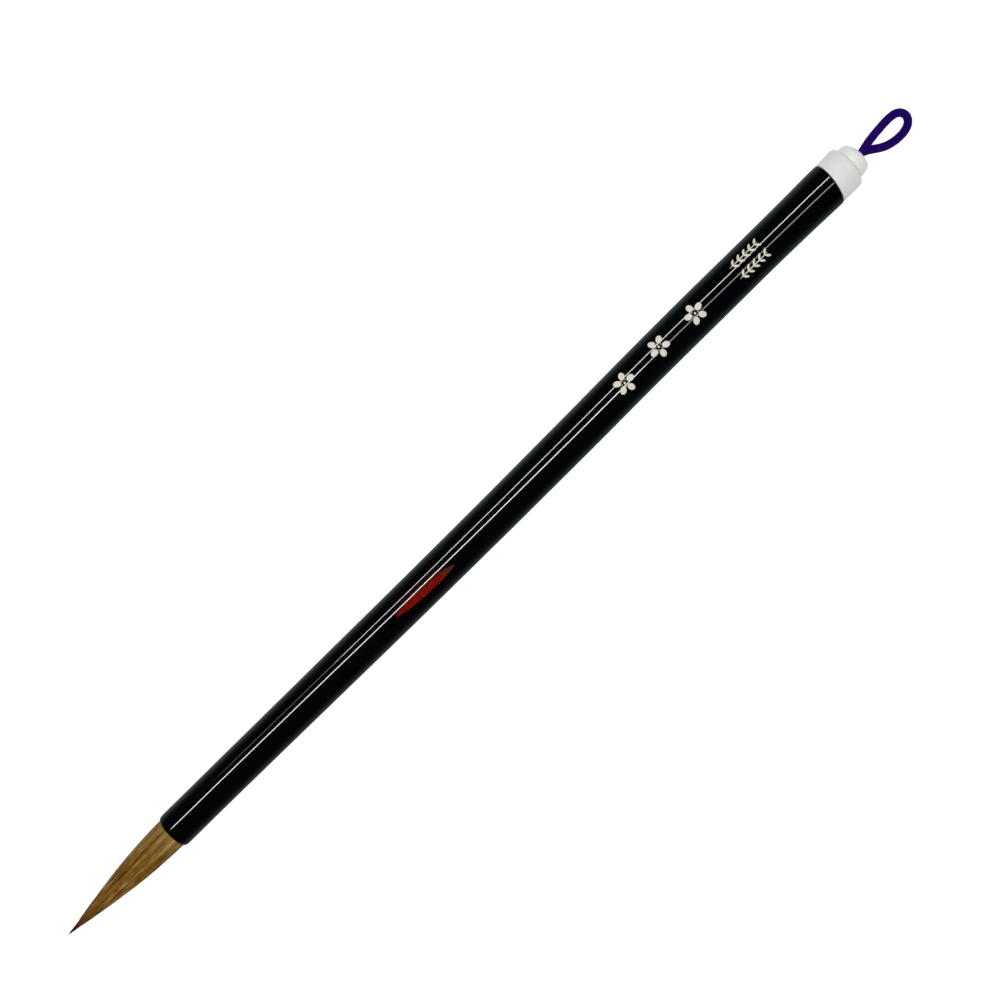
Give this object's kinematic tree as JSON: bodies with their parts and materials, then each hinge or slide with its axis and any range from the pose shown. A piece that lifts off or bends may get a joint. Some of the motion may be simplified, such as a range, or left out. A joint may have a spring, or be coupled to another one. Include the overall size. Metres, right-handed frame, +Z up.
{
  "type": "calligraphy brush",
  "caption": "Writing brush with a slim black lacquered handle, a pointed hair tuft, a pale stepped end cap and a hanging loop of braided cord.",
  "frame": {"origin": "On the surface that the brush lies on, midway between the tuft's point and the cap's end, under the axis. The hanging loop isn't counted.", "axes": "+X runs along the brush from the tuft to the cap and the loop, +Z is up from the surface, and +Y completes a right-handed frame. The handle's underside lies on z = 0, so its axis rises 0.21 degrees towards the cap."},
  "size_m": [0.2536, 0.0098, 0.0098],
  "materials": {
    "lacquer": "high-gloss black lacquer over bamboo",
    "outer_hair": "golden brown animal hair, dark at its point",
    "core_hair": "darker, stiffer animal hair",
    "thread": "waxed cotton thread",
    "resin": "fused rosin",
    "glue": "set adhesive",
    "cap_plastic": "satin off-white moulded plastic",
    "cord": "violet braided cord"
  },
  "bodies": {
    "handle": {"handle_tube": "lacquer", "outer_hair_root": "outer_hair", "core_hair_root": "core_hair", "binding_thread": "thread", "root_seal": "resin", "glue_bed": "glue", "end_cap": "cap_plastic", "cap_glue": "glue", "loop_neck": "cord", "loop_knot": "cord"},
    "tuft": {"outer_hair_tip": "outer_hair", "core_hair_tip": "core_hair"},
    "loop": {"hanging_loop": "cord"}
  },
  "joints": [
    {"name": "tuft_bend", "type": "hinge", "parent": "handle", "child": "tuft", "pos_m": [-0.09382, 0, 0.00415], "axis": [0, 0, 1], "range_deg": [-45, 45], "stiffness_Nm_per_rad": 0.003},
    {"name": "loop_swing", "type": "hinge", "parent": "handle", "child": "loop", "pos_m": [0.12082, 0, 0.00494], "axis": [0, 0, 1], "range_deg": [-60, 60], "stiffness_Nm_per_rad": 0.00015}
  ]
}
